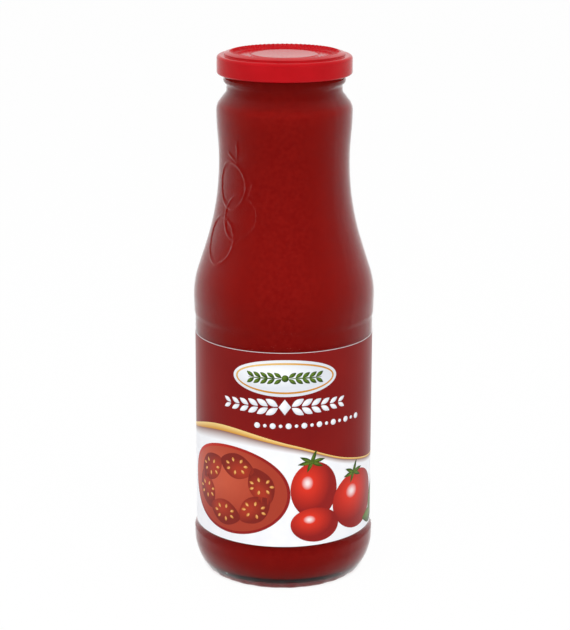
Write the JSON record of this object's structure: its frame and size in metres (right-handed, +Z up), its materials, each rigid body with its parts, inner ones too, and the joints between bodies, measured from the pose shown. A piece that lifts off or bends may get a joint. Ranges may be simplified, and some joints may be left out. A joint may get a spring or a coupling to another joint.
{
  "type": "passata bottle",
  "caption": "Waisted clear glass bottle filled with tomato passata, closed by a red twist-off metal lid, with a printed paper label wrapped round its lower body.",
  "frame": {"origin": "centre of the base, on the plane that the bottle stands on", "axes": "+Z up along the bottle's axis; the front of the label faces -Y, and its two ends meet at the back, towards +Y"},
  "size_m": [0.0772, 0.0772, 0.2241],
  "materials": {
    "glass": "clear container glass, blown, smooth with light mould marks",
    "passata": "wet, fine-grained tomato puree, dark brick red",
    "lid_lacquer": "tinplate with a satin red lacquer",
    "label_paper": "coated paper with a smooth printed face, deep red over white"
  },
  "bodies": {
    "root": {"glass_bottle": "glass", "passata": "passata", "lid": "lid_lacquer", "label": "label_paper"}
  },
  "joints": []
}
